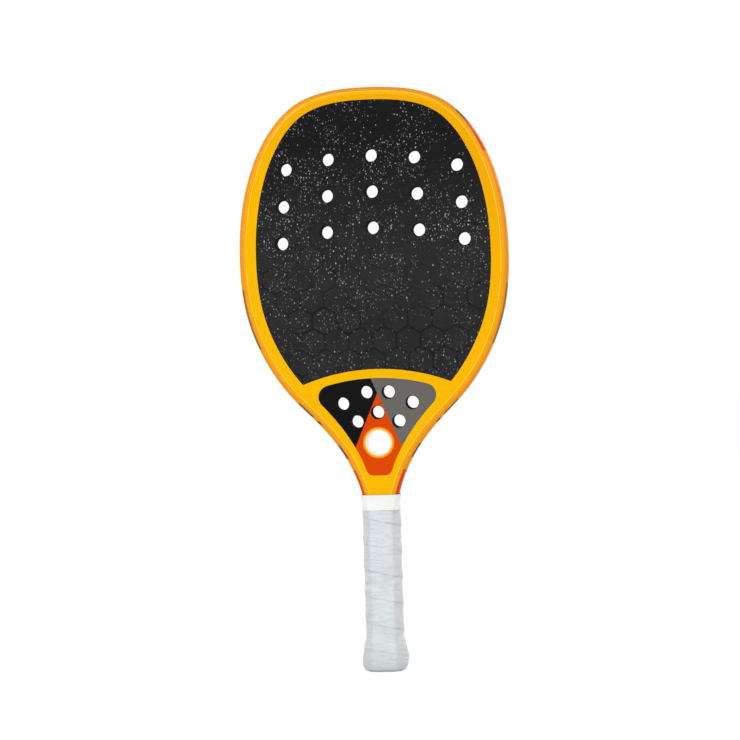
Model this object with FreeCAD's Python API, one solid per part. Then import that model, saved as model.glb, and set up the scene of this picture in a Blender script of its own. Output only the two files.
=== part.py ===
import FreeCAD, Part
import math
import os

# Beach tennis racket, drawn upright: +Z runs along the handle to the tip of the head,
# the front face looks along -Y, and +X is to the right seen from the front.
# Heights are written from the flat end of the butt; everything is moved down at the end
# so that the frame starts at the middle of the grip, on the handle's own axis.

# Whole racket
OVERALL_LENGTH = 500.0
HEAD_HALF_WIDTH = 115.2
THICKNESS = 22.0
EDGE_RADIUS = 6.0
GRIP_MIDDLE = 80.0
# Flat strip of bare tube between its rounding and the edge of the skins
FLAT_LAND = 0.4

# Layers on each face, counted inwards from the outside
FILM = 0.2
SKIN = 0.6
TUBE_WALL = 1.3

# Outline from the tip down: shares of the head's half width and of the head's length
HEAD_LENGTH = 324.3
OUTLINE_STATIONS = [
    (0.574, 0.0446),
    (0.834, 0.1572),
    (0.964, 0.2969),
    (1.000, 0.4424),
    (0.957, 0.5938),
    (0.804, 0.7302),
    (0.618, 0.8213),
    (0.460, 0.8782),
    (0.348, 0.9239),
    (0.213, 1.0),
]
LEG_HALF_WIDTH = 12.0
LEG_START = 123.9

# Frame tube and the slot between its legs
FRAME_WIDTH = 14.0
SLOT_WIDTH = 3.0

# Bridge: a bent tube under a painted bar, its middle given from the tip
BAR_DROP = 244.5
BAR_RADIUS = 168.0
BAR_WIDTH = 7.6
BRIDGE_TUBE_WIDTH = 12.0

# Painted border of the grit face: narrow at the tip, wider down the sides
TIP_BORDER = 10.8
SIDE_BORDER = 14.8
BORDER_FADE = 45.0

# Air holes of the head: rows on an arc, the first one given from the tip
HOLE_RADIUS = 5.5
RIM_FLARE = 0.5
FIRST_ROW_DROP = 58.3
ROW_SPACING = 30.9
ROW_RADIUS = 270.0
ROW_PITCHES = [37.1, 38.7, 39.6]
HOLES_EACH_SIDE = 2

# Hang hole, given from the bar, and its sleeve and printed ring
HANG_HOLE_DROP = 59.1
HANG_HOLE_RADIUS = 10.2
SLEEVE_WALL = 1.0
SLEEVE_LIP = 0.6
RING_WIDTH = 2.2

# Air holes of the throat: across, and up from the hang hole
THROAT_PAIRS = [(29.9, 33.7), (9.7, 43.1), (18.0, 18.1)]
THROAT_CENTRE_RISE = 25.9

# Throat opening and its print, measured down or up from the hang hole
OPENING_FLOOR_DROP = 22.5
PANEL_FLOOR_DROP = 28.1
PANEL_FLOOR_BORDER = 11.2
PANEL_TOP_BORDER = 15.6
PANEL_TOP_RADIUS = 10.0
PANEL_FLOOR_RADIUS = 6.5
WEDGE_RISE = 42.5
WEDGE_HALF_ANGLE = 23.3

# Octagon of the grip under the overgrip
GRIP_HALF_WIDTH = 15.4
GRIP_HALF_DEPTH = 13.6
GRIP_BEVEL = 6.0
CORNER_CUT = 1.2

# Butt flare: heights with how far each stands out from the octagon
FLARE_STATIONS = [
    (0.0, -3.8),
    (0.7, -0.4),
    (2.2, 1.6),
    (4.2, 2.7),
    (8.0, 3.5),
    (12.0, 3.4),
    (18.5, 2.4),
    (25.0, 1.2),
    (27.0, 0.8),
    (28.5, 0.1),
    (29.5, 0.0),
]

# Handle parts, heights from the butt
CAP_FLOOR = 3.0
CAP_TOP = 34.0
BASE_GRIP_WALL = 1.2
GRIP_END_WALL = 0.9
PALLET_TOP = 134.0
GRIP_SHOULDER = 138.2
GRIP_TOP = 145.2

# Overgrip: a wound strip whose laps stand proud
OVERGRIP_FOOT = 1.0
OVERGRIP_WALL = 0.6
LAP_STEP = 0.55
LAP_RISE = 0.35
WRAP_PITCH = 22.4
WRAP_ROWS = 4
# Height where one lap crosses the middle of the front facet
FRONT_LAP = 61.8

# White finishing tape over the end of the grip
TAPE_FOOT = 137.7
TAPE_TOP = 151.6
TAPE_WALL = 0.35
TAPE_END_WALL = 1.3
TAPE_SOFT = 0.7

# Staples through the cap skirt
STAPLE_DROP = 3.0
STAPLE_WIDTH = 9.0
STAPLE_WIRE = 0.7
STAPLE_LEG = 3.2

# Follow from the sizes above
HALF_THICKNESS = THICKNESS / 2.0
SKIN_OUTER = HALF_THICKNESS - FILM
CORE_HALF = SKIN_OUTER - SKIN
FACE_INSET = EDGE_RADIUS + FLAT_LAND
RIM_RADIUS = HOLE_RADIUS + RIM_FLARE
BAR_HEIGHT = OVERALL_LENGTH - BAR_DROP
BAR_CENTRE = BAR_HEIGHT - BAR_RADIUS
HANG_HOLE_HEIGHT = BAR_HEIGHT - HANG_HOLE_DROP
SLEEVE_RADIUS = HANG_HOLE_RADIUS + SLEEVE_WALL
RING_RADIUS = SLEEVE_RADIUS + RING_WIDTH
OPENING_FLOOR = HANG_HOLE_HEIGHT - OPENING_FLOOR_DROP
PANEL_FLOOR = HANG_HOLE_HEIGHT - PANEL_FLOOR_DROP
OCTAGON_SOFT = 2.0 - math.sqrt(2.0)
OUTLINE_SAMPLES = 56
SECTION_CORNERS = 16
BIG = 2.0 * OVERALL_LENGTH


def vec(x, y, z):
    return FreeCAD.Vector(x, y, z)


def box(x0, x1, y0, y1, z0, z1):
    return Part.makeBox(x1 - x0, y1 - y0, z1 - z0, vec(x0, y0, z0))


def below(z):
    return box(-BIG, BIG, -BIG, BIG, -BIG, z)


def above(z):
    return box(-BIG, BIG, -BIG, BIG, z, BIG)


def across(radius, x, z, y0=-BIG, y1=BIG):
    """A cylinder that runs from front to back."""
    return Part.makeCylinder(radius, y1 - y0, vec(x, y0, z), vec(0, 1, 0))


def thick(face, y0, y1):
    """Extrude a face drawn in the XZ plane from y0 to y1."""
    moved = face.translated(vec(0, y0, 0))
    return moved.extrude(vec(0, y1 - y0, 0))


def through(face):
    return thick(face, -THICKNESS, THICKNESS)


# Outline

def spline(points, first=None, last=None):
    """Smooth curve through the points, its speed following the distances between them."""
    marks = [0.0]
    for a, b in zip(points, points[1:]):
        marks.append(marks[-1] + a.distanceToPoint(b))
    curve = Part.BSplineCurve()
    if first is None:
        curve.interpolate(Points=points, Parameters=marks)
    else:
        curve.interpolate(
            Points=points, Parameters=marks, InitialTangent=first, FinalTangent=last, Scale=False
        )
    return curve


def both_sides(right):
    """A right half listed from the top down becomes a full run, lower left to lower right."""
    left = [vec(-x, 0, z) for x, z in reversed(right) if x > 1e-6]
    return left + [vec(x, 0, z) for x, z in right]


def outline():
    right = [(0.0, OVERALL_LENGTH)]
    for across_share, down_share in OUTLINE_STATIONS:
        right.append((across_share * HEAD_HALF_WIDTH, OVERALL_LENGTH - down_share * HEAD_LENGTH))
    right.append((LEG_HALF_WIDTH, LEG_START))
    return spline(both_sides(right), vec(0, 0, 1), vec(0, 0, -1))


def constant(inset):
    return lambda z: inset


def inset_half(inset):
    """Right half of the outline from the top down, moved inwards by the inset at each height."""
    curve = outline()
    start = curve.FirstParameter
    span = curve.LastParameter - start
    points = []
    for i in range(OUTLINE_SAMPLES // 2 + 1):
        u = start + span * (0.5 + i / OUTLINE_SAMPLES)
        p = curve.value(u)
        t = curve.tangent(u)[0]
        step = inset(p.z)
        points.append((max(p.x + t.z * step, 0.0), p.z - t.x * step))
    points[0] = (0.0, points[0][1])
    return points


def stop_at(points, floor):
    """The same run, ended exactly at a height."""
    kept = [point for point in points if point[1] > floor]
    if len(kept) < len(points):
        x0, z0 = kept[-1]
        x1, z1 = points[len(kept)]
        share = (z0 - floor) / (z0 - z1)
        kept.append((x0 + (x1 - x0) * share, floor))
    return kept


def neck_half_width(z):
    """Half width of the racket at a height in the neck."""
    return stop_at(inset_half(constant(0.0)), z)[-1][0]


def loop_face(inset, foot):
    """The outline moved inwards, closed by straight legs down to the foot."""
    points = both_sides(inset_half(constant(inset)))
    curve = spline(points, vec(0, 0, 1), vec(0, 0, -1)).toShape()
    first = points[0]
    last = points[-1]
    low_left = vec(first.x, 0, foot)
    low_right = vec(last.x, 0, foot)
    legs = [
        Part.makeLine(last, low_right),
        Part.makeLine(low_right, low_left),
        Part.makeLine(low_left, first),
    ]
    return Part.Face(Part.Wire([curve] + legs))


def opening_face(inset, floor):
    """A space inside the outline, closed by a flat floor."""
    points = both_sides(stop_at(inset_half(inset), floor))
    curve = spline(points).toShape()
    base = Part.makeLine(points[-1], points[0])
    return Part.Face(Part.Wire([curve, base]))


def bar_disc(radius):
    """Everything under the bent bar out to a radius."""
    return across(radius, 0, BAR_CENTRE)


# Holes

def head_hole_centres():
    centres = []
    for row, pitch in enumerate(ROW_PITCHES):
        top = OVERALL_LENGTH - FIRST_ROW_DROP - row * ROW_SPACING
        for k in range(-HOLES_EACH_SIDE, HOLES_EACH_SIDE + 1):
            turn = k * pitch / ROW_RADIUS
            sink = ROW_RADIUS * (1 - math.cos(turn))
            centres.append((ROW_RADIUS * math.sin(turn), top - sink))
    return centres


def throat_hole_centres():
    centres = [(0.0, HANG_HOLE_HEIGHT + THROAT_CENTRE_RISE)]
    for x, rise in THROAT_PAIRS:
        centres.append((-x, HANG_HOLE_HEIGHT + rise))
        centres.append((x, HANG_HOLE_HEIGHT + rise))
    return centres


def air_drills(radius):
    """One straight drill for every air hole."""
    return [across(radius, x, z) for x, z in head_hole_centres() + throat_hole_centres()]


def rim_drills(side):
    """Drills that open out to the rim on the way through a skin."""
    tools = []
    for x, z in head_hole_centres() + throat_hole_centres():
        start = vec(x, side * CORE_HALF, z)
        tools.append(Part.makeCone(HOLE_RADIUS, RIM_RADIUS, SKIN, start, vec(0, side, 0)))
    return tools


def hang_drill(radius):
    return across(radius, 0, HANG_HOLE_HEIGHT)


# Frame and cores

def flat_edges(body, level):
    """Long edges that lie in the plane y = level or y = -level, without the foot."""
    foot = body.BoundBox.ZMin
    edges = []
    for edge in body.Edges:
        bounds = edge.BoundBox
        flat = bounds.YMax - bounds.YMin < 1e-3 and abs(abs(bounds.YMin) - level) < 1e-3
        if flat and bounds.ZMax - foot > 1.0:
            edges.append(edge)
    return edges


def rounded_slab(inset, half, radius, foot):
    """A thick outline whose long edges are rounded, on both faces."""
    body = thick(loop_face(inset, foot), -half, half)
    return body.makeFillet(radius, flat_edges(body, half))


def racket_body():
    """The full outside of frame and cores under the skins, without any opening."""
    body = rounded_slab(0.0, HALF_THICKNESS, EDGE_RADIUS, CAP_FLOOR)
    recess = loop_face(FACE_INSET, CAP_FLOOR - 1.0)
    tools = []
    for side in (-1, 1):
        y0, y1 = sorted((side * CORE_HALF, side * THICKNESS))
        tools.append(thick(recess, y0, y1))
        tools.append(box(-BIG, BIG, y0, y1, -BIG, PALLET_TOP))
    return body.cut(tools)


def opening_prism():
    return thick(opening_face(constant(FRAME_WIDTH), OPENING_FLOOR), -CORE_HALF, CORE_HALF)


def frame_tube(body):
    """Bent hollow tube: rounded outside, flat inner wall, open at the ends of its legs."""
    opening = through(opening_face(constant(FRAME_WIDTH), OPENING_FLOOR))
    gap = box(-SLOT_WIDTH / 2, SLOT_WIDTH / 2, -BIG, BIG, -BIG, OPENING_FLOOR + 1.0)
    shell = body.cut([opening, gap])
    hollow_half = CORE_HALF - TUBE_WALL
    soft = EDGE_RADIUS - TUBE_WALL
    hollow = rounded_slab(TUBE_WALL, hollow_half, soft, CAP_FLOOR - 1.0)
    grown = through(opening_face(constant(FRAME_WIDTH - TUBE_WALL), OPENING_FLOOR - TUBE_WALL))
    reach = SLOT_WIDTH / 2 + TUBE_WALL
    wall = box(-reach, reach, -BIG, BIG, -BIG, OPENING_FLOOR)
    return shell.cut(hollow.cut([grown, wall]))


def bridge_tube():
    reach = BRIDGE_TUBE_WIDTH / 2
    outer = bar_disc(BAR_RADIUS + reach).cut(bar_disc(BAR_RADIUS - reach))
    reach = reach - TUBE_WALL
    inner_half = CORE_HALF - TUBE_WALL
    inner = across(BAR_RADIUS + reach, 0, BAR_CENTRE, -inner_half, inner_half)
    inner = inner.cut(bar_disc(BAR_RADIUS - reach))
    return opening_prism().common(outer).cut(inner)


def head_core():
    disc = bar_disc(BAR_RADIUS + BRIDGE_TUBE_WIDTH / 2)
    return opening_prism().cut([disc] + air_drills(HOLE_RADIUS))


def throat_core():
    disc = bar_disc(BAR_RADIUS - BRIDGE_TUBE_WIDTH / 2)
    return opening_prism().common(disc).cut(air_drills(HOLE_RADIUS) + [hang_drill(SLEEVE_RADIUS)])


def neck_filler():
    half = SLOT_WIDTH / 2
    return box(-half, half, -CORE_HALF, CORE_HALF, CAP_FLOOR, OPENING_FLOOR)


# Faces

def skin(side):
    y0, y1 = sorted((side * CORE_HALF, side * SKIN_OUTER))
    sheet = thick(loop_face(FACE_INSET, CAP_FLOOR), y0, y1)
    return sheet.cut([below(PALLET_TOP), hang_drill(SLEEVE_RADIUS)] + rim_drills(side))


def film(face, side):
    y0, y1 = sorted((side * SKIN_OUTER, side * HALF_THICKNESS))
    return thick(face, y0, y1)


def face_border(z):
    """Width of the painted border at a height on the edge."""
    drop = OVERALL_LENGTH - z
    return SIDE_BORDER - (SIDE_BORDER - TIP_BORDER) * math.exp(-drop / BORDER_FADE)


def face_window(side):
    """The field of the grit face: inside the border and over the bar."""
    sheet = film(opening_face(face_border, HANG_HOLE_HEIGHT), side)
    return sheet.cut(bar_disc(BAR_RADIUS + BAR_WIDTH / 2))


def panel_border(z):
    """Width of the painted border beside the throat print."""
    share = (z - PANEL_FLOOR) / (BAR_HEIGHT - PANEL_FLOOR)
    return PANEL_FLOOR_BORDER + (PANEL_TOP_BORDER - PANEL_FLOOR_BORDER) * share


def corners(sheet, z0, z1):
    """Side corners of a sheet between two heights, as edges through its thickness."""
    edges = []
    for edge in sheet.Edges:
        bounds = edge.BoundBox
        through_sheet = bounds.YMax - bounds.YMin > FILM / 2 and bounds.ZMax - bounds.ZMin < 1e-3
        if through_sheet and abs(bounds.XMin) > 1.0 and z0 < bounds.ZMin < z1:
            edges.append(edge)
    return edges


def throat_window(side):
    """The printed field of the throat, its corners rounded."""
    sheet = film(opening_face(panel_border, PANEL_FLOOR), side)
    sheet = sheet.common(bar_disc(BAR_RADIUS - BAR_WIDTH / 2))
    sheet = sheet.makeFillet(PANEL_TOP_RADIUS, corners(sheet, HANG_HOLE_HEIGHT, BAR_HEIGHT))
    low = PANEL_FLOOR - 1.0
    return sheet.makeFillet(PANEL_FLOOR_RADIUS, corners(sheet, low, PANEL_FLOOR + 1.0))


def border_film(side):
    sheet = film(loop_face(FACE_INSET, CAP_FLOOR), side)
    return sheet.cut([below(PALLET_TOP), face_window(side), throat_window(side)])


def face_film(side):
    return face_window(side).cut(air_drills(RIM_RADIUS))


def throat_regions():
    """Three fields that meet at the tip of the wedge."""
    slope = math.tan(math.radians(WEDGE_HALF_ANGLE))
    tip = HANG_HOLE_HEIGHT + WEDGE_RISE
    far = 2.0 * HEAD_HALF_WIDTH
    apex = (0.0, tip)
    over = (-slope * far, tip + far)
    left = (-slope * far, tip - far)
    right = (slope * far, tip - far)
    return {
        "black": [apex, over, (-far, tip + far), (-far, tip - far), left],
        "grey": [apex, right, (far, tip - far), (far, tip + far), over],
        "red": [apex, left, right],
    }


def throat_print(side, region):
    """One printed field of the throat."""
    loop = [vec(x, 0, z) for x, z in region]
    field = film(Part.Face(Part.makePolygon(loop + loop[:1])), side)
    sheet = throat_window(side).common(field)
    return sheet.cut(air_drills(RIM_RADIUS) + [hang_drill(RING_RADIUS)])


def hole_ring(side):
    y0, y1 = sorted((side * SKIN_OUTER, side * HALF_THICKNESS))
    sheet = across(RING_RADIUS, 0, HANG_HOLE_HEIGHT, y0, y1)
    return sheet.cut(hang_drill(SLEEVE_RADIUS))


def hang_hole_sleeve():
    """Liner of the hang hole, its two inner lips rounded."""
    tube = across(SLEEVE_RADIUS, 0, HANG_HOLE_HEIGHT, -HALF_THICKNESS, HALF_THICKNESS)
    tube = tube.cut(hang_drill(HANG_HOLE_RADIUS))
    between = (HANG_HOLE_RADIUS + SLEEVE_RADIUS) / 2
    rims = flat_edges(tube, HALF_THICKNESS)
    lips = [edge for edge in rims if edge.Curve.Radius < between]
    return tube.makeFillet(min(SLEEVE_LIP, 0.8 * SLEEVE_WALL), lips)


# Handle

def section_points(half_width, half_depth, bevel, z):
    """Octagon with each corner cut once more: sixteen points, counted anticlockwise."""
    w = half_width
    d = half_depth
    corners = [(w, d - bevel), (w - bevel, d), (bevel - w, d), (-w, d - bevel)]
    corners += [(-x, -y) for x, y in corners]
    points = []
    for i, corner in enumerate(corners):
        here = vec(corner[0], corner[1], z)
        for other in (corners[i - 1], corners[(i + 1) % len(corners)]):
            towards = vec(other[0], other[1], z) - here
            points.append(here + towards.normalize() * CORNER_CUT)
    return points


def octagon(swell):
    """Half width, half depth and bevel of the grip's octagon grown evenly by the swell."""
    return (GRIP_HALF_WIDTH + swell, GRIP_HALF_DEPTH + swell, GRIP_BEVEL + OCTAGON_SOFT * swell)


def neck_section(z, wall):
    """The same three sizes for a wrap of even wall round the neck."""
    bevel = OCTAGON_SOFT * (EDGE_RADIUS + wall)
    return (neck_half_width(z) + wall, HALF_THICKNESS + wall, bevel)


def core_profile():
    """Sections of cap and base grip together: height, half width, half depth, bevel."""
    profile = [(z,) + octagon(swell) for z, swell in FLARE_STATIONS]
    profile.append((GRIP_SHOULDER,) + octagon(0.0))
    profile.append((GRIP_TOP,) + neck_section(GRIP_TOP, GRIP_END_WALL))
    return profile


def profile_at(profile, z):
    """Half width, half depth and bevel at a height."""
    if z <= profile[0][0]:
        return profile[0][1:]
    for low, high in zip(profile, profile[1:]):
        if z <= high[0]:
            share = (z - low[0]) / (high[0] - low[0])
            return tuple(a + (b - a) * share for a, b in zip(low[1:], high[1:]))
    return profile[-1][1:]


def handle_loft(profile):
    wires = []
    for z, half_width, half_depth, bevel in profile:
        points = section_points(half_width, half_depth, bevel, z)
        wires.append(Part.makePolygon(points + points[:1]))
    return Part.makeLoft(wires, True, True)


def grip_core():
    """Outside of the butt cap and the base grip together."""
    return handle_loft(core_profile())


def pallet_block():
    sizes = octagon(-BASE_GRIP_WALL)
    return handle_loft([(CAP_FLOOR,) + sizes, (PALLET_TOP,) + sizes])


def staple(side):
    """Square wire bent to a U: the crown lies flush in the skirt, the legs go inwards."""
    z0 = CAP_TOP - STAPLE_DROP - STAPLE_WIRE / 2
    z1 = z0 + STAPLE_WIRE
    reach = STAPLE_WIDTH / 2
    y0, y1 = sorted((side * GRIP_HALF_DEPTH, side * (GRIP_HALF_DEPTH - STAPLE_WIRE)))
    crown = box(-reach, reach, y0, y1, z0, z1)
    y0, y1 = sorted((side * GRIP_HALF_DEPTH, side * (GRIP_HALF_DEPTH - STAPLE_LEG)))
    left = box(-reach, STAPLE_WIRE - reach, y0, y1, z0, z1)
    right = box(reach - STAPLE_WIRE, reach, y0, y1, z0, z1)
    return crown.fuse([left, right]).removeSplitter()


def staples():
    return [staple(-1), staple(1)]


def handle_pallet(side, body):
    y0, y1 = sorted((0.0, side * THICKNESS))
    half = pallet_block().common(box(-BIG, BIG, y0, y1, -BIG, BIG))
    return half.cut([body] + staples())


def covered_neck(body):
    """Frame, skins and films where the grip and the tape are wound over them."""
    face = loop_face(FACE_INSET, CAP_FLOOR)
    for side in (-1, 1):
        y0, y1 = sorted((side * CORE_HALF, side * HALF_THICKNESS))
        body = body.fuse(thick(face, y0, y1).cut(below(PALLET_TOP)))
    return body.common(below(2.0 * TAPE_TOP - GRIP_TOP))


def butt_cap():
    body = grip_core().cut(above(CAP_TOP))
    return body.cut([pallet_block()] + staples())


def base_grip(neck):
    body = grip_core().cut(below(CAP_TOP))
    return body.cut([pallet_block(), neck])


# Overgrip

def lap_marks(profile):
    """Share of a turn reached at each corner of the section, going round clockwise."""
    ring = section_points(*profile_at(profile, FRONT_LAP), 0.0)
    ring = ring[:1] + ring[:0:-1]
    marks = [0.0]
    for a, b in zip(ring, ring[1:] + ring[:1]):
        marks.append(marks[-1] + a.distanceToPoint(b))
    return [mark / marks[-1] for mark in marks]


def lap_start(marks):
    """Height of the strip's first corner, well under the butt."""
    front = (marks[4] + marks[5]) / 2.0
    turns = math.ceil(FRONT_LAP / WRAP_PITCH) + 2
    return FRONT_LAP - WRAP_PITCH * (turns + front)


def strip_line(column, profile, marks, start):
    """One upright line of the strip: from its proud lower edge to the foot of the next lap."""
    turn, corner = divmod(column, SECTION_CORNERS)
    shares = [r / WRAP_ROWS for r in range(WRAP_ROWS)]
    raises = [LAP_STEP * (1.0 - share) for share in shares]
    shares.append(1.0 - LAP_RISE / WRAP_PITCH)
    raises.append(0.0)
    line = []
    for share, raised in zip(shares, raises):
        z = start + WRAP_PITCH * (turn + marks[corner] + share)
        width, depth, bevel = profile_at(profile, z)
        swell = OVERGRIP_WALL + raised
        sizes = (width + swell, depth + swell, bevel + OCTAGON_SOFT * swell)
        line.append(section_points(*sizes, z)[-corner % SECTION_CORNERS])
    return line


def triangle(a, b, c):
    return Part.Face(Part.makePolygon([a, b, c, a]))


def quad(a, b, c, d):
    return [triangle(a, b, c), triangle(a, c, d)]


def end_cap(tip, edge):
    """Close one end of the strip with triangles to a point on the axis."""
    return [triangle(tip, a, b) for a, b in zip(edge, edge[1:] + edge[:1])]


def wound_strip():
    """Solid outside of the overgrip: each turn laps over the one below with a small step."""
    profile = core_profile()
    marks = lap_marks(profile)
    start = lap_start(marks)
    steps = SECTION_CORNERS * (math.ceil((GRIP_TOP - start) / WRAP_PITCH) + 1)
    lines = []
    for column in range(steps + SECTION_CORNERS + 1):
        lines.append(strip_line(column, profile, marks, start))
    faces = []
    for column in range(steps):
        here = lines[column] + [lines[column + SECTION_CORNERS][0]]
        there = lines[column + 1] + [lines[column + SECTION_CORNERS + 1][0]]
        for r in range(len(here) - 1):
            faces += quad(here[r + 1], there[r + 1], there[r], here[r])
    foot = [line[0] for line in lines[:SECTION_CORNERS + 1]] + lines[0][:0:-1]
    head = [line[0] for line in lines[steps:]] + lines[steps][:0:-1]
    faces += end_cap(vec(0, 0, foot[0].z - 1.0), foot)
    faces += end_cap(vec(0, 0, head[SECTION_CORNERS].z + 1.0), head[::-1])
    return Part.makeSolid(Part.makeShell(faces))


def overgrip(neck):
    body = wound_strip().cut([below(OVERGRIP_FOOT), above(GRIP_TOP)])
    return body.cut([grip_core(), neck])


def tape_profile():
    """Sections of the tape: over the end of the grip, then down onto the neck."""
    over = OVERGRIP_WALL + LAP_STEP + TAPE_WALL
    return [
        (TAPE_FOOT,) + octagon(over),
        (TAPE_FOOT + TAPE_SOFT,) + octagon(over + TAPE_WALL),
        (GRIP_TOP,) + neck_section(GRIP_TOP, GRIP_END_WALL + over),
        (TAPE_TOP - TAPE_SOFT,) + neck_section(TAPE_TOP - TAPE_SOFT, TAPE_END_WALL),
        (TAPE_TOP,) + neck_section(TAPE_TOP, TAPE_END_WALL - TAPE_WALL),
    ]


def finishing_tape(neck, grip):
    return handle_loft(tape_profile()).cut([neck, grip_core(), grip])


# Output

def save(name, shape):
    """Write one node, moved so that the middle of the grip is the origin."""
    solids = shape.translated(vec(0, 0, -GRIP_MIDDLE)).Solids
    if len(solids) == 1:
        solids[0].exportStep("parts/" + name + ".step")
    else:
        Part.makeCompound(solids).exportStep("parts/" + name + ".step")


def main():
    os.makedirs("parts", exist_ok=True)
    body = racket_body()
    neck = covered_neck(body)
    save("frame_tube", frame_tube(body))
    save("bridge_tube", bridge_tube())
    save("head_core", head_core())
    save("throat_core", throat_core())
    save("neck_filler", neck_filler())
    for word, side in (("front", -1), ("back", 1)):
        save(word + "_skin", skin(side))
        save(word + "_border_film", border_film(side))
        save(word + "_face_film", face_film(side))
        for colour, region in throat_regions().items():
            save(word + "_throat_" + colour, throat_print(side, region))
        save(word + "_hole_ring", hole_ring(side))
        save("handle_pallet_" + word, handle_pallet(side, body))
    save("hang_hole_sleeve", hang_hole_sleeve())
    save("butt_cap", butt_cap())
    save("butt_cap_staples", Part.makeCompound(staples()))
    save("base_grip", base_grip(neck))
    grip = overgrip(neck)
    save("overgrip", grip)
    save("finishing_tape", finishing_tape(neck, grip))


main()
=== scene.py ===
import bpy
import math
from mathutils import Matrix, Vector, noise


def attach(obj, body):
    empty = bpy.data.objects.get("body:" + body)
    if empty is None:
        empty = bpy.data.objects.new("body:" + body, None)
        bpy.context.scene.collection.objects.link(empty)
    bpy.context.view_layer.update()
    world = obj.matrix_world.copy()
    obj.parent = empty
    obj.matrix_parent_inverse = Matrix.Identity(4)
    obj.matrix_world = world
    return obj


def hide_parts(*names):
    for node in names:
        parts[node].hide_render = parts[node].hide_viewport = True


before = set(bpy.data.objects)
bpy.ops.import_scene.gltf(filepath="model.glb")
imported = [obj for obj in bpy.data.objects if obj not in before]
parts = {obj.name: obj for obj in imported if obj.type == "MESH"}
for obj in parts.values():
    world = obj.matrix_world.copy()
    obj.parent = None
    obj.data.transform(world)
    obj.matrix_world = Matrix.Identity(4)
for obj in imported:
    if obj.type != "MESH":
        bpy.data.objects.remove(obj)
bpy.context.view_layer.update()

MM = 0.001

# Camera that took the picture: where it stands, where it looks, its lens on a 36 mm sensor
CAMERA_PLACE = (0.24445, -2.98859, 0.25170)
CAMERA_RIGHT = (0.99611979, 0.08291053, -0.02951620)
CAMERA_UP = (0.02737628, 0.02682952, 0.99926509)
CAMERA_AHEAD = (-0.08364150, 0.99619577, -0.02445563)
LENS = 170.379

# Handle sizes in millimetres, height 0 at the flat end of the butt
GRIP_MIDDLE = 80.0
NECK_HALF_DEPTH = 11.0
OCTAGON_SOFT = 2.0 - math.sqrt(2.0)
SWELL = [
    (0.0, -3.8), (0.7, -0.4), (2.2, 1.6), (4.2, 2.7), (8.0, 3.5), (12.0, 3.4), (18.5, 2.4),
    (25.0, 1.2), (27.0, 0.8), (28.5, 0.1), (29.5, 0.0), (152.0, 0.0),
]
# Half width, half depth and bevel of the grip's octagon
GRIP_SIZES = (15.4, 13.6, 6.0)
SHOULDER = 138.2
SHOULDER_END = 145.2
NECK_HALF_WIDTH = [
    (130.0, 12.2), (138.2, 13.0), (142.0, 13.6), (145.2, 14.2), (148.0, 14.8), (152.0, 15.8),
]
# Overgrip strip: its ends, its laps and the height at which a lap crosses the middle of the front
WRAP_FOOT = 0.35
WRAP_TOP = 145.4
WRAP_PITCH = 22.4
WRAP_WALL = 0.45
STRIP_WIDTH = 25.4
LAP_FRONT = 62.3
# Share of a turn from +X to the middle of the front, clockwise from above
FRONT_TURN = 0.176
# Finishing tape
TAPE_FOOT = 138.6
TAPE_TOP = 151.6
TAPE_WALL = 0.38
# Points round the handle for each turn of a wrap
TURN_POINTS = 120

# Heights on the face and throat in metres, from the middle of the grip
HANG_HOLE = 0.1164
NECK_RED_TOP = 0.0930
SHOULDER_STROKE = (0.3635, 0.3985)
# Dark strokes of the side wall: lower end, upper end, strength
SIDE_STROKES = (
    (0.1995, 0.2510, 0.7), (0.1405, 0.1525, 0.75), (0.1335, 0.1370, 0.9), (0.1040, 0.1160, 0.85),
)
# How far from the middle plane the painted highlight line starts, at the side of the head
HIGHLIGHT_LINE = 0.010978
# Six-sided cells of the quilting: pitch across, pitch up, and the middle of one cell
QUILT_CELL = 0.0205
QUILT_ROW = 0.0179
QUILT_MIDDLE = (-0.0026, 0.2573)
QUILT_LINE = (0.0012, 0.0002)

# Studio
FLOOR_HEIGHT = -0.0802
LAMP_SIZE = 1.4
LAMPS = (
    ("front_left_lamp", (-1.5, -2.0, 1.5), 22.0),
    ("front_right_lamp", (1.7, -1.9, 0.9), 13.0),
    ("back_left_lamp", (-1.6, 2.0, 1.2), 16.0),
    ("back_right_lamp", (1.6, 2.0, 1.3), 17.0),
)


# Shading by nodes

def srgb(red, green, blue):
    """Linear colour from the 0 to 255 numbers of a colour chart."""
    levels = []
    for value in (red, green, blue):
        c = value / 255.0
        levels.append(c / 12.92 if c <= 0.04045 else ((c + 0.055) / 1.055) ** 2.4)
    return (levels[0], levels[1], levels[2], 1.0)


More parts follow.
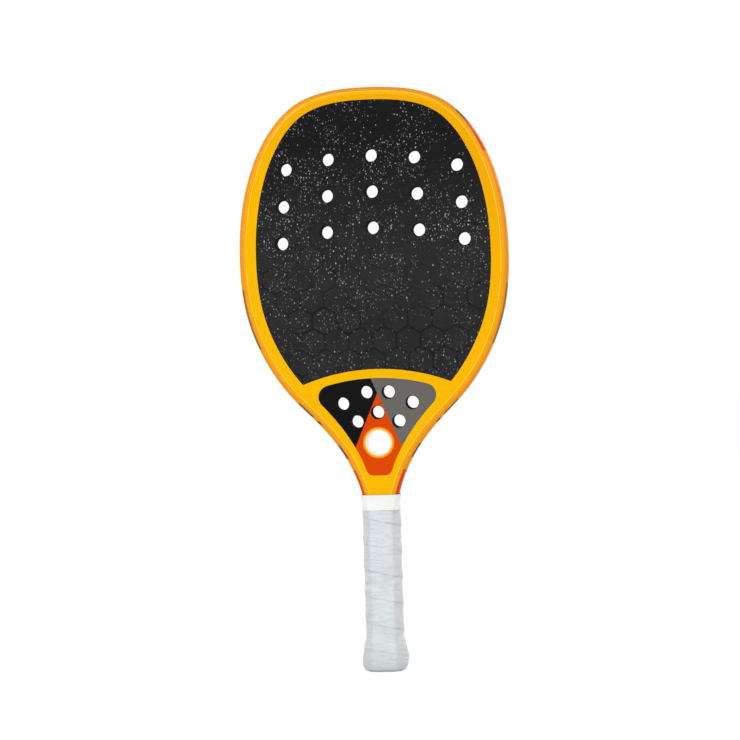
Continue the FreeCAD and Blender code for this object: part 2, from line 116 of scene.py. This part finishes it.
class Finish:
    """A node material under construction."""

    def __init__(self, name, colour, roughness, **sockets):
        self.material = bpy.data.materials.new(name)
        self.material.use_nodes = True
        self.material.diffuse_color = colour
        self.tree = self.material.node_tree
        self.shader = self.tree.nodes["Principled BSDF"]
        self.shader.inputs["Base Color"].default_value = colour
        self.shader.inputs["Roughness"].default_value = roughness
        for socket, value in sockets.items():
            self.shader.inputs[socket.replace("_", " ")].default_value = value
        self.place = self.node("TexCoord").outputs["Object"]
        split = self.node("SeparateXYZ", {"Vector": self.place})
        self.x, self.y, self.z = split.outputs

    def feed(self, socket, value):
        if isinstance(value, bpy.types.NodeSocket):
            self.tree.links.new(value, socket)
        else:
            socket.default_value = value

    def node(self, kind, inputs=None, **settings):
        made = self.tree.nodes.new("ShaderNode" + kind)
        for name, value in settings.items():
            setattr(made, name, value)
        for name, value in (inputs or {}).items():
            self.feed(made.inputs[name], value)
        return made

    def calc(self, operation, a, b=0.0, c=0.0):
        made = self.node("Math", operation=operation)
        for socket, value in zip(made.inputs, (a, b, c)):
            self.feed(socket, value)
        return made.outputs[0]

    def ramp(self, value, low, high, start=0.0, end=1.0):
        """Smooth step from start to end while the value goes from low to high."""
        made = self.node("MapRange", interpolation_type="SMOOTHSTEP")
        made.inputs["From Min"].default_value = low
        made.inputs["From Max"].default_value = high
        made.inputs["To Min"].default_value = start
        made.inputs["To Max"].default_value = end
        self.feed(made.inputs["Value"], value)
        return made.outputs["Result"]

    def band(self, value, low, high, soft):
        """1 between low and high, 0 outside."""
        rise = self.ramp(value, low - soft, low + soft)
        fall = self.ramp(value, high - soft, high + soft, 1.0, 0.0)
        return self.calc("MULTIPLY", rise, fall)

    def noise(self, scale, detail=2.0, roughness=0.5, vector=None, distortion=0.0):
        made = self.node("TexNoise", {"Vector": vector or self.place})
        made.inputs["Scale"].default_value = scale
        made.inputs["Detail"].default_value = detail
        made.inputs["Roughness"].default_value = roughness
        made.inputs["Distortion"].default_value = distortion
        return made.outputs["Fac"]

    def stretch(self, sizes, turn=(0.0, 0.0, 0.0), vector=None):
        made = self.node("Mapping", {"Vector": vector or self.place})
        made.inputs["Scale"].default_value = sizes
        made.inputs["Rotation"].default_value = turn
        return made.outputs["Vector"]

    def from_hang_hole(self):
        """Distance from the axis of the hang hole."""
        rise = self.calc("SUBTRACT", self.z, HANG_HOLE)
        flat = self.node("CombineXYZ", {"X": self.x, "Y": rise}).outputs[0]
        return self.node("VectorMath", {"Vector": flat}, operation="LENGTH").outputs["Value"]

    def mix(self, share, a, b):
        made = self.node("Mix", data_type="RGBA")
        self.feed(made.inputs["Factor"], share)
        self.feed(made.inputs[6], a)
        self.feed(made.inputs[7], b)
        return made.outputs[2]

    def colour(self, value):
        self.feed(self.shader.inputs["Base Color"], value)

    def gloss(self, value):
        self.feed(self.shader.inputs["Roughness"], value)

    def relief(self, height, depth, strength=1.0):
        """Bump from a height field; depth is in metres."""
        made = self.node("Bump", {"Height": height})
        made.inputs["Distance"].default_value = depth
        made.inputs["Strength"].default_value = strength
        if self.shader.inputs["Normal"].links:
            before = self.shader.inputs["Normal"].links[0].from_socket
            self.tree.links.new(before, made.inputs["Normal"])
        self.tree.links.new(made.outputs["Normal"], self.shader.inputs["Normal"])


def clear_lacquer(name, colour, roughness=0.3, gloss=0.07):
    """Film or paint under clear lacquer, with a fine orange peel."""
    finish = Finish(name, colour, roughness, Coat_Weight=0.3 * gloss, Coat_Roughness=0.12,
                    Specular_IOR_Level=gloss)
    finish.relief(finish.noise(420.0, 2.0), 0.00002, 0.35)
    return finish


def clouded(finish, colour, shade):
    """A print that clouds a little between two tones."""
    return finish.mix(finish.ramp(finish.noise(14.0, 3.0), 0.35, 0.7, 0.0, 0.5), colour, shade)


def field_print(name, colour, shade, roughness, gloss):
    """One plain field of the print on the throat."""
    finish = clear_lacquer(name, colour, roughness, gloss)
    finish.colour(clouded(finish, colour, shade))
    return finish.material


def frame_paint():
    """Orange lacquer of the tube, with dark and red strokes on its side wall, painted shade on the
    side wall and a painted highlight line near the face.
    """
    orange = srgb(249, 156, 8)
    shade_orange = srgb(222, 138, 22)
    red = srgb(222, 66, 8)
    dark = srgb(46, 34, 30)
    finish = Finish("frame_orange_lacquer", orange, 0.3, Coat_Weight=0.04, Coat_Roughness=0.1,
                    Specular_IOR_Level=0.1)
    out = finish.calc("ABSOLUTE", finish.y)
    # Painted shade: the middle of the side wall is darkened, unevenly
    side = finish.ramp(out, 0.0074, 0.0096, 1.0, 0.0)
    side_shade = finish.calc("MULTIPLY", side, finish.ramp(finish.noise(60.0, 3.0), 0.3, 0.7, 0.45, 0.8))
    paint = finish.mix(side_shade, orange, shade_orange)
    # Painted light: lighter towards the face, then a painted highlight line, which lies further
    # over the edge near the tip
    paint = finish.mix(finish.ramp(out, 0.0094, 0.0109, 0.0, 0.8), paint, srgb(254, 172, 8))
    drop = finish.calc("ADD", finish.ramp(finish.z, 0.352, 0.402, 0.0, 0.00016),
                       finish.ramp(finish.z, 0.396, 0.422, 0.0, 0.00052))
    past = finish.calc("SUBTRACT", finish.calc("ADD", out, drop), HIGHLIGHT_LINE)
    wide = finish.calc("ADD", 0.00003, finish.calc("MULTIPLY", drop, 0.42))
    paint = finish.mix(finish.calc("GREATER_THAN", past, 0.0), paint, srgb(254, 214, 74))
    paint = finish.mix(finish.calc("GREATER_THAN", past, wide), paint, srgb(254, 184, 6))
    # Uneven ends of the strokes
    wavy = finish.calc("MULTIPLY", finish.noise(160.0, 2.0), 0.0016)
    height = finish.calc("ADD", finish.z, wavy)
    # Red foot of the neck, with a straight upper end
    low = finish.ramp(finish.z, NECK_RED_TOP - 0.0004, NECK_RED_TOP + 0.0004, 1.0, 0.0)
    neck = finish.calc("MULTIPLY", low, finish.ramp(out, 0.0095, 0.0102, 1.0, 0.0))
    paint = finish.mix(neck, paint, red)
    # Shoulder stroke that fades from dark to red, narrower on the left
    left = finish.calc("MULTIPLY", finish.calc("LESS_THAN", finish.x, 0.0), 0.0011)
    taper = finish.ramp(finish.z, 0.366, 0.398, 0.0100, 0.0088)
    edge = finish.calc("ADD", out, finish.calc("MULTIPLY", left, 2.0))
    inside = finish.calc("LESS_THAN", edge, taper)
    stroke = finish.calc("MULTIPLY", finish.band(height, *SHOULDER_STROKE, 0.0008), inside)
    fade = finish.ramp(height, 0.384, 0.392)
    paint = finish.mix(finish.calc("MULTIPLY", stroke, 0.9), paint, finish.mix(fade, red, dark))
    # Short dark strokes further down the side wall, wider on the left
    thin = finish.ramp(finish.calc("SUBTRACT", out, left), 0.0078, 0.0090, 1.0, 0.0)
    for low_end, high_end, strength in SIDE_STROKES:
        mark = finish.calc("MULTIPLY", finish.band(height, low_end, high_end, 0.0007), thin)
        paint = finish.mix(finish.calc("MULTIPLY", mark, strength), paint, dark)
    finish.colour(paint)
    finish.gloss(finish.ramp(finish.noise(35.0, 3.0), 0.3, 0.8, 0.24, 0.36))
    finish.relief(finish.noise(380.0, 2.0), 0.00002, 0.4)
    finish.relief(finish.noise(26.0, 2.0), 0.00012, 0.3)
    return finish.material


def quilting(finish):
    """1 inside the six-sided cells pressed into the face, 0 on the thin lines between them."""
    x = finish.calc("SUBTRACT", finish.x, QUILT_MIDDLE[0])
    z = finish.calc("SUBTRACT", finish.z, QUILT_MIDDLE[1])
    sway = finish.calc("MULTIPLY", finish.calc("SUBTRACT", finish.noise(90.0, 2.0), 0.5), 0.0014)
    z = finish.calc("ADD", z, sway)
    half = 0.5 * QUILT_CELL
    rows = []
    # Every second row is shifted by half a cell
    for shift_x, shift_z in ((0.0, 0.0), (half, QUILT_ROW)):
        across = finish.calc("WRAP", finish.calc("SUBTRACT", x, shift_x), half, -half)
        up = finish.calc("WRAP", finish.calc("SUBTRACT", z, shift_z), QUILT_ROW, -QUILT_ROW)
        across = finish.calc("ABSOLUTE", across)
        up = finish.calc("MULTIPLY", finish.calc("ABSOLUTE", up), 0.8660)
        slanted = finish.calc("ADD", finish.calc("MULTIPLY", across, 0.5), up)
        rows.append(finish.calc("MAXIMUM", across, slanted))
    nearest = finish.calc("MINIMUM", *rows)
    return finish.ramp(nearest, half - QUILT_LINE[0], half - QUILT_LINE[1], 1.0, 0.0)


def grains(finish, flat, cell, reach, keep):
    """Scattered grains, slightly tall; the clouds and the height thin them out."""
    tall = finish.stretch((1.0, 0.7, 1.0), (0.0, 0.0, 0.15), flat)
    spots = finish.node("TexVoronoi", {"Vector": tall}, voronoi_dimensions="2D")
    spots.inputs["Scale"].default_value = cell
    chance = finish.node("SeparateColor", {"Color": spots.outputs["Color"]})
    size = finish.ramp(chance.outputs["Green"], 0.0, 1.0, 0.5 * reach, reach)
    near = finish.calc("SUBTRACT", 1.0, finish.calc("DIVIDE", spots.outputs["Distance"], size))
    clouds = finish.ramp(finish.noise(34.0, 3.0, 0.6), 0.36, 0.60, 0.12, 1.0)
    dense = finish.calc("MULTIPLY", clouds, finish.ramp(finish.z, 0.19, 0.31, 0.75, 1.0))
    limit = finish.calc("SUBTRACT", 1.0, finish.calc("MULTIPLY", dense, keep))
    kept = finish.calc("GREATER_THAN", chance.outputs["Red"], limit)
    bright = finish.ramp(chance.outputs["Blue"], 0.15, 1.0, 0.12, 0.95)
    lit = finish.calc("MULTIPLY", bright, finish.ramp(finish.z, 0.19, 0.31, 0.65, 1.0))
    return finish.calc("MULTIPLY", finish.calc("MULTIPLY", finish.ramp(near, 0.0, 0.45), kept), lit)


def grit_film():
    """Black grit face: fine slanting grain, faint quilting, scattered pale grit."""
    finish = Finish("grit_face_film", srgb(36, 36, 36), 0.6, Specular_IOR_Level=0.1)
    flat = finish.node("CombineXYZ", {"X": finish.x, "Y": finish.z}).outputs[0]
    # Slanting grain, broken up by noise
    slant = finish.calc("MULTIPLY", finish.calc("ADD", finish.x, finish.z), 2300.0)
    sway = finish.calc("MULTIPLY", finish.noise(150.0, 2.0), 5.0)
    grain = finish.ramp(finish.calc("SINE", finish.calc("ADD", slant, sway)), -1.0, 1.0)
    patches = finish.ramp(finish.noise(60.0, 2.0), 0.35, 0.65, 0.35, 1.0)
    grain = finish.calc("MULTIPLY", grain, patches)
    base = finish.mix(grain, srgb(30, 30, 30), srgb(46, 46, 46))
    dust = finish.ramp(finish.noise(1100.0, 2.0), 0.45, 0.75, 0.0, 0.45)
    base = finish.mix(dust, base, srgb(54, 54, 54))
    # Quilting, faint and fainter still towards the tip
    quilt = quilting(finish)
    valley = finish.calc("SUBTRACT", 1.0, quilt)
    faint = finish.calc("MULTIPLY", valley, finish.ramp(finish.z, 0.22, 0.34, 0.9, 0.35))
    uneven = finish.ramp(finish.noise(28.0, 2.0), 0.35, 0.62, 0.35, 1.0)
    faint = finish.calc("MULTIPLY", faint, uneven)
    base = finish.mix(faint, base, srgb(18, 18, 18))
    # Painted shade: the face darkens towards the tip
    base = finish.mix(finish.ramp(finish.z, 0.26, 0.39, 0.0, 0.9), base, srgb(12, 12, 13))
    # Pale grit in two sizes
    coarse = grains(finish, flat, 400.0, 0.26, 0.24)
    fine = finish.calc("MULTIPLY", grains(finish, flat, 640.0, 0.36, 0.46), 0.58)
    grit = finish.calc("MAXIMUM", coarse, fine)
    finish.colour(finish.mix(grit, base, srgb(196, 197, 196)))
    finish.gloss(finish.ramp(grit, 0.0, 1.0, 0.6, 0.35))
    finish.relief(finish.noise(1500.0, 2.0), 0.00005, 0.5)
    finish.relief(quilt, 0.00016, 0.5)
    finish.relief(grit, 0.0002, 0.6)
    return finish.material


def border_print():
    """Yellow field round the head, with painted shade that deepens its tone towards the tip and the
    right.
    """
    finish = clear_lacquer("border_yellow_film", srgb(255, 192, 0), 0.3, 0.03)
    yellow = clouded(finish, srgb(255, 190, 0), srgb(255, 186, 0))
    # Painted shade: darker towards the tip and the right
    turned = finish.calc("ADD", finish.z, finish.calc("MULTIPLY", finish.x, 0.6))
    finish.colour(finish.mix(finish.ramp(turned, 0.22, 0.42), yellow, srgb(246, 173, 2)))
    return finish.material


def ring_print():
    """Printed ring round the hang hole: orange outside, paling to yellow inside."""
    finish = clear_lacquer("ring_sunset_print", srgb(255, 200, 60))
    away = finish.from_hang_hole()
    pale = finish.mix(finish.ramp(away, 0.0110, 0.0121), srgb(255, 214, 110), srgb(254, 176, 44))
    finish.colour(finish.mix(finish.ramp(away, 0.0119, 0.0132), pale, srgb(248, 138, 26)))
    return finish.material


def sleeve_plastic():
    """White liner; the print of the ring pales out over its lips."""
    finish = Finish("white_sleeve_plastic", srgb(246, 245, 240), 0.32, Specular_IOR_Level=0.2)
    smudge = finish.ramp(finish.noise(120.0, 3.0), 0.45, 0.8, 0.0, 0.35)
    white = finish.mix(smudge, srgb(248, 247, 243), srgb(234, 230, 217))
    lip = finish.ramp(finish.calc("ABSOLUTE", finish.y), 0.0103, 0.0107)
    tint = finish.calc("MULTIPLY", lip, finish.ramp(finish.from_hang_hole(), 0.0103, 0.0112))
    finish.colour(finish.mix(tint, white, srgb(255, 222, 132)))
    finish.relief(finish.noise(900.0, 2.0), 0.00002, 0.3)
    return finish.material


def bare_carbon():
    """Cut edge of the laminate in the holes: black with faint plies."""
    finish = Finish("carbon_laminate_edge", srgb(24, 24, 26), 0.4, Specular_IOR_Level=0.12)
    ply = finish.calc("SINE", finish.calc("MULTIPLY", finish.y, 30000.0))
    finish.colour(finish.mix(finish.ramp(ply, -1.0, 1.0), srgb(20, 20, 21), srgb(34, 34, 36)))
    finish.relief(finish.noise(2500.0, 2.0), 0.00003, 0.4)
    return finish.material


def hole_wall():
    """Black sealed foam inside the air holes."""
    finish = Finish("black_sealed_foam", srgb(12, 12, 13), 0.8, Specular_IOR_Level=0.02)
    cells = finish.node("TexVoronoi", {"Vector": finish.place})
    cells.inputs["Scale"].default_value = 1600.0
    finish.colour(finish.mix(finish.ramp(cells.outputs["Distance"], 0.2, 0.7),
                             srgb(8, 8, 9), srgb(20, 20, 21)))
    finish.relief(cells.outputs["Distance"], 0.00008, 0.5)
    return finish.material


def moulded(name, colour, shade, roughness):
    """Plain moulded or foamed plastic with a fine stipple."""
    finish = Finish(name, colour, roughness, Specular_IOR_Level=0.35)
    finish.colour(finish.mix(finish.ramp(finish.noise(90.0, 4.0), 0.35, 0.7), colour, shade))
    finish.relief(finish.noise(1800.0, 2.0), 0.00005, 0.5)
    return finish.material


def steel_wire():
    """Drawn steel of the staples."""
    finish = Finish("staple_steel_wire", srgb(180, 182, 186), 0.3, Metallic=1.0)
    drawn = finish.noise(700.0, 2.0, vector=finish.stretch((0.1, 1.0, 1.0)))
    finish.gloss(finish.ramp(drawn, 0.3, 0.7, 0.22, 0.45))
    finish.relief(drawn, 0.00002, 0.4)
    return finish.material


def overgrip_skin():
    """Pale tacky grip tape: soft sheen, fine pores, pulls, a shaded line under each lap."""
    pale = srgb(226, 232, 237)
    finish = Finish("overgrip_tacky_skin", pale, 0.5, Sheen_Weight=0.08, Sheen_Roughness=0.4,
                    Specular_IOR_Level=0.3)
    strip = finish.node("SeparateXYZ", {"Vector": finish.node("UVMap").outputs["UV"]}).outputs["Y"]
    handled = finish.ramp(finish.noise(45.0, 4.0, 0.6), 0.38, 0.72)
    tone = finish.mix(finish.calc("MULTIPLY", handled, 0.5), pale, srgb(208, 214, 218))
    # Painted shade on the sides of the handle, which turn away from the front
    turned = finish.ramp(finish.calc("ABSOLUTE", finish.x), 0.0078, 0.0108, 0.0, 0.8)
    tone = finish.mix(turned, tone, srgb(218, 221, 219))
    low = finish.ramp(finish.z, -0.052, -0.078, 0.0, 0.55)
    tone = finish.mix(low, tone, srgb(207, 213, 216))
    under = finish.calc("MULTIPLY", finish.band(strip, 0.83, 0.90, 0.03),
                        finish.ramp(finish.noise(110.0, 2.0), 0.38, 0.62, 0.1, 0.6))
    tone = finish.mix(under, tone, srgb(190, 197, 202))
    # Narrow pressed ridges that follow the lap, drawn in the colour as painted shade and painted
    # highlight
    along = finish.stretch((0.45, 0.45, 2.4), (0.0, 0.22, 0.0))
    streaks = finish.noise(130.0, 3.0, 0.55, along, 0.6)
    tone = finish.mix(finish.ramp(streaks, 0.56, 0.70, 0.0, 0.35), tone, srgb(200, 207, 212))
    tone = finish.mix(finish.ramp(streaks, 0.42, 0.30, 0.0, 0.5), tone, srgb(238, 242, 245))
    finish.colour(tone)
    finish.gloss(finish.ramp(finish.noise(160.0, 3.0), 0.3, 0.75, 0.38, 0.58))
    pores = finish.node("TexVoronoi", {"Vector": finish.place})
    pores.inputs["Scale"].default_value = 1100.0
    finish.relief(finish.ramp(pores.outputs["Distance"], 0.0, 0.35), 0.00006, 0.35)
    pulls = finish.noise(95.0, 3.0, 0.55, finish.stretch((0.7, 0.7, 2.6), (0.0, 0.18, 0.0)), 0.8)
    finish.relief(finish.ramp(pulls, 0.42, 0.62), 0.0007, 0.6)
    return finish.material


def tape_cloth():
    """White finishing tape with a fine woven backing."""
    finish = Finish("white_finishing_tape", srgb(250, 250, 248), 0.45, Specular_IOR_Level=0.35)
    weave = finish.node("TexWave", {"Vector": finish.place}, bands_direction="Z")
    weave.inputs["Scale"].default_value = 480.0
    weave.inputs["Distortion"].default_value = 0.6
    soil = finish.ramp(finish.noise(130.0, 3.0), 0.5, 0.8, 0.0, 0.4)
    finish.colour(finish.mix(soil, srgb(250, 250, 248), srgb(238, 236, 230)))
    finish.relief(weave.outputs["Fac"], 0.00004, 0.4)
    return finish.material


# Handle wraps

def between(table, height):
    """Value at a height, straight between the rows of a table."""
    for (z0, a), (z1, b) in zip(table, table[1:]):
        if height <= z1:
            share = max(0.0, (height - z0) / (z1 - z0))
            return a + (b - a) * share
    return table[-1][1]


def smooth(value):
    """Smooth step from 0 to 1."""
    value = min(1.0, max(0.0, value))
    return value * value * (3.0 - 2.0 * value)


def section_sizes(height):
    """Half width, half depth and bevel of what the tapes are wound on."""
    swell = between(SWELL, height)
    width, depth, bevel = (size + k * swell for size, k in zip(GRIP_SIZES, (1, 1, OCTAGON_SOFT)))
    share = smooth((height - SHOULDER) / (SHOULDER_END - SHOULDER))
    neck = between(NECK_HALF_WIDTH, height) + 0.6 * (SHOULDER_END / max(height, SHOULDER_END)) ** 12
    width += (neck - width) * share
    depth += (NECK_HALF_DEPTH + 0.3 - depth) * share
    bevel += (3.9 - bevel) * share
    return width, depth, bevel


def octagon_ring(width, depth, bevel, count, soft):
    """Even points round an octagon with rounded corners, clockwise from above, from +X."""
    corners = [
        (width, bevel - depth), (width - bevel, -depth),
        (bevel - width, -depth), (-width, bevel - depth),
        (-width, depth - bevel), (bevel - width, depth),
        (width - bevel, depth), (width, depth - bevel),
    ]
    path = []
    for i, (x, y) in enumerate(corners):
        here = Vector((x, y))
        before = Vector(corners[i - 1])
        after = Vector(corners[(i + 1) % 8])
        a = here + (before - here).normalized() * soft
        b = here + (after - here).normalized() * soft
        for k in range(5):
            t = k / 4.0
            path.append(a * (1 - t) ** 2 + here * 2 * t * (1 - t) + b * t ** 2)
    marks = [0.0]
    for a, b in zip(path, path[1:] + path[:1]):
        marks.append(marks[-1] + (b - a).length)
    total = marks[-1]
    path.append(path[0])
    ring = []
    j = 0
    for k in range(count):
        goal = total * k / count
        while marks[j + 1] < goal:
            j += 1
        share = (goal - marks[j]) / max(marks[j + 1] - marks[j], 1e-9)
        ring.append(path[j].lerp(path[j + 1], share))
    return ring


def ring_cache(soft):
    """Rings for every fifth of a millimetre of height, worked out once each."""
    known = {}

    def ring(height):
        key = round(height * 5)
        if key not in known:
            known[key] = octagon_ring(*section_sizes(key / 5.0), TURN_POINTS, soft)
        return known[key]

    return ring


def wound_point(ring, column, height, lift):
    """A point of the wrap: on the ring at its height, lifted off it."""
    points = ring(height)
    here = points[column % TURN_POINTS]
    along = points[(column + 1) % TURN_POINTS] - points[(column - 1) % TURN_POINTS]
    out = Vector((along.y, -along.x)).normalized()
    if out.dot(here) < 0:
        out = -out
    spot = here + out * lift
    return Vector((spot.x, spot.y, height - GRIP_MIDDLE)) * MM


def strip_mesh(name, columns, rows, place):
    """A flat grid whose points are laid on the handle column by column."""
    bpy.ops.object.select_all(action="DESELECT")
    bpy.ops.mesh.primitive_grid_add(x_subdivisions=columns - 1, y_subdivisions=rows - 1, size=1.0)
    strip = bpy.context.object
    strip.name = name
    for vertex in strip.data.vertices:
        column = round((vertex.co.x + 0.5) * (columns - 1))
        row = round((vertex.co.y + 0.5) * (rows - 1))
        vertex.co = place(column, row / (rows - 1))
    return strip


def give_wall(strip, wall):
    """Thickness in millimetres, grown outwards from the laid surface."""
    solid = strip.modifiers.new("wall", "SOLIDIFY")
    solid.thickness = wall * MM
    solid.offset = 1.0
    solid.use_even_offset = False
    bpy.context.view_layer.objects.active = strip
    bpy.ops.object.modifier_apply(modifier="wall")


def finish_piece(piece, material, node):
    """Material, shading and place in the frame of a finished piece."""
    piece.data.materials.clear()
    piece.data.materials.append(material)
    bpy.ops.object.select_all(action="DESELECT")
    piece.select_set(True)
    bpy.context.view_layer.objects.active = piece
    bpy.ops.object.shade_smooth_by_angle(angle=math.radians(50.0))
    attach(piece, "root")
    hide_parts(node)


def crease(column, height, turn):
    """Small pulls in the tape: ripples beside the laps and slanting puckers."""
    spot = Vector((column * 0.045, turn * 3.1, height * 0.16))
    slow = noise.noise(spot)
    fine = noise.noise(Vector((column * 0.11, 7.0 + turn, height * 0.55)))
    fold = 1.0 - abs(noise.noise(Vector((column * 0.028 + height * 0.02, 11.0, height * 0.30))))
    return 0.10 * slow + 0.05 * fine + 0.34 * smooth((fold - 0.84) / 0.16) * (0.4 + 0.6 * abs(slow))


def overgrip():
    """Grip tape wound up the handle from the butt, each turn lapping the one below."""
    ring = ring_cache(1.3)
    start = LAP_FRONT - WRAP_PITCH * (4 + FRONT_TURN)
    first = math.ceil((WRAP_FOOT + 0.5 - STRIP_WIDTH - start) / WRAP_PITCH * TURN_POINTS)
    last = math.floor((WRAP_TOP - 0.5 - start) / WRAP_PITCH * TURN_POINTS)

    def place(k, share):
        column = first + k
        turn = column / TURN_POINTS
        nominal = start + WRAP_PITCH * turn
        nominal += 0.5 * noise.noise(Vector((turn * 5.0, 0.0, 3.0)))
        low = max(nominal, WRAP_FOOT)
        high = min(nominal + STRIP_WIDTH, WRAP_TOP)
        height = low + (high - low) * share
        up = height - nominal
        lift = 0.30 + 0.45 * (1.0 - smooth((up - 3.0) / 9.0))
        fade = smooth((height - WRAP_FOOT) / 3.0)
        edge = smooth((up + 1.0) / 4.0) * 0.6 + 0.4
        lift += crease(column, height, math.floor(turn)) * fade * edge
        return wound_point(ring, column, height, lift)

    strip = strip_mesh("overgrip_wrap", last - first + 1, 25, place)
    give_wall(strip, WRAP_WALL)
    return strip


def finishing_tape():
    """Narrow white tape that goes once round the top of the grip and laps at the back."""
    ring = ring_cache(1.6)
    columns = 150

    def place(k, share):
        column = k + 20
        height = TAPE_FOOT + (TAPE_TOP - TAPE_FOOT) * share
        height += 0.12 * noise.noise(Vector((k * 0.06, 2.0, 0.0)))
        over = smooth((k - 100) / 14.0)
        lift = 1.15 + 0.42 * over
        # Drawn in over the upper edge of the overgrip
        lift -= 0.20 * smooth((height - 146.0) / 5.0)
        lift += 0.05 * noise.noise(Vector((column * 0.08, 5.0, height * 0.4)))
        return wound_point(ring, column, height, lift)

    band = strip_mesh("finishing_tape_band", columns, 13, place)
    give_wall(band, TAPE_WALL)
    return band


# Room

def node_maker(tree):
    """Makes shading nodes in a tree and links what is given to their sockets."""
    def make(kind, links=None, **values):
        made = tree.nodes.new("ShaderNode" + kind)
        for name, value in values.items():
            made.inputs[name].default_value = value
        for socket, source in (links or {}).items():
            tree.links.new(source, made.inputs[socket])
        return made

    return make


def surroundings():
    """White where the camera, a reflection or a view through sees it, and plain soft light."""
    world = bpy.context.scene.world or bpy.data.worlds.new("World")
    bpy.context.scene.world = world
    world.use_nodes = True
    tree = world.node_tree
    tree.nodes.clear()
    make = node_maker(tree)
    white = (1.0, 1.0, 1.0, 1.0)
    rays = make("LightPath").outputs
    glass = make("Math", {0: rays["Is Glossy Ray"], 1: rays["Is Transmission Ray"]})
    glass.operation = "MAXIMUM"
    seen = make("Math", {0: rays["Is Camera Ray"], 1: glass.outputs[0]})
    seen.operation = "MAXIMUM"
    lit = make("Background", Color=white, Strength=0.56)
    bright = make("Background", Color=white, Strength=1.0)
    join = make("MixShader", {0: seen.outputs[0], 1: lit.outputs[0], 2: bright.outputs[0]})
    make("OutputWorld", {0: join.outputs[0]})


def floor():
    """White floor under the butt, which keeps the racket's shadow."""
    bpy.ops.object.select_all(action="DESELECT")
    bpy.ops.mesh.primitive_plane_add(size=14.0, location=(0.0, 0.0, FLOOR_HEIGHT))
    plane = bpy.context.object
    plane.name = "studio_floor"
    white = bpy.data.materials.new("studio_floor_white")
    white.use_nodes = True
    tree = white.node_tree
    make = node_maker(tree)
    shader = tree.nodes["Principled BSDF"]
    shader.inputs["Base Color"].default_value = (0.86, 0.86, 0.86, 1.0)
    shader.inputs["Roughness"].default_value = 0.9
    shader.inputs["Specular IOR Level"].default_value = 0.1
    glow = make("Emission", Strength=1.12)
    part = make("Math", {0: make("LightPath").outputs["Is Camera Ray"]})
    part.operation = "MULTIPLY"
    part.inputs[1].default_value = 0.82
    join = make("MixShader", {0: part.outputs[0], 1: shader.outputs[0], 2: glow.outputs[0]})
    tree.links.new(join.outputs[0], tree.nodes["Material Output"].inputs[0])
    plane.data.materials.append(white)


def lamps():
    """Soft round lamps, all turned to the middle of the racket."""
    for name, place, power in LAMPS:
        data = bpy.data.lights.new(name, "AREA")
        data.energy = power
        data.shape = "DISK"
        data.size = LAMP_SIZE
        holder = bpy.data.objects.new(name, data)
        bpy.context.scene.collection.objects.link(holder)
        aim = Vector((0.0, 0.0, 0.2)) - Vector(place)
        turn = aim.to_track_quat("-Z", "Y").to_matrix().to_4x4()
        holder.matrix_world = Matrix.Translation(place) @ turn


def camera():
    """The camera of the photograph."""
    data = bpy.data.cameras.new("picture_camera")
    data.sensor_width = 36.0
    data.lens = LENS
    data.clip_start = 0.05
    holder = bpy.data.objects.new("picture_camera", data)
    bpy.context.scene.collection.objects.link(holder)
    axes = Matrix((CAMERA_RIGHT, CAMERA_UP, -Vector(CAMERA_AHEAD))).transposed()
    holder.matrix_world = Matrix.Translation(CAMERA_PLACE) @ axes.to_4x4()
    bpy.context.scene.camera = holder
    bpy.context.scene.view_settings.view_transform = "Standard"


def dress(material, *names):
    """Gives a material to solids of the frame."""
    for name in names:
        mesh = parts[name].data
        mesh.materials.clear()
        mesh.materials.append(material)


def both(stem):
    """The front and the back piece of one kind."""
    return ("front_" + stem, "back_" + stem)


def main():
    camera()
    surroundings()
    floor()
    lamps()
    dress(frame_paint(), "frame_tube")
    dress(hole_wall(), "head_core", "throat_core")
    dress(bare_carbon(), *both("skin"), "bridge_tube")
    dress(border_print(), *both("border_film"))
    dress(grit_film(), *both("face_film"))
    for shade_name, colour, shade, gloss in (
        ("black", srgb(14, 14, 15), srgb(22, 22, 23), 0.05),
        ("grey", srgb(112, 108, 104), srgb(98, 94, 90), 0.05),
        ("red", srgb(226, 74, 0), srgb(218, 64, 0), 0.04),
    ):
        stem = "throat_" + shade_name
        dress(field_print(stem + "_print", colour, shade, 0.35, gloss), *both(stem))
    dress(ring_print(), *both("hole_ring"))
    dress(sleeve_plastic(), "hang_hole_sleeve")
    foam = moulded("pallet_hard_foam", srgb(205, 196, 170), srgb(190, 180, 152), 0.7)
    dress(foam, "handle_pallet_front", "handle_pallet_back", "neck_filler")
    dress(moulded("butt_cap_black_plastic", srgb(38, 38, 40), srgb(30, 30, 32), 0.5), "butt_cap")
    dress(steel_wire(), "butt_cap_staples")
    dress(moulded("base_grip_black_foam", srgb(34, 34, 36), srgb(44, 44, 46), 0.75), "base_grip")
    finish_piece(overgrip(), overgrip_skin(), "overgrip")
    finish_piece(finishing_tape(), tape_cloth(), "finishing_tape")


main()
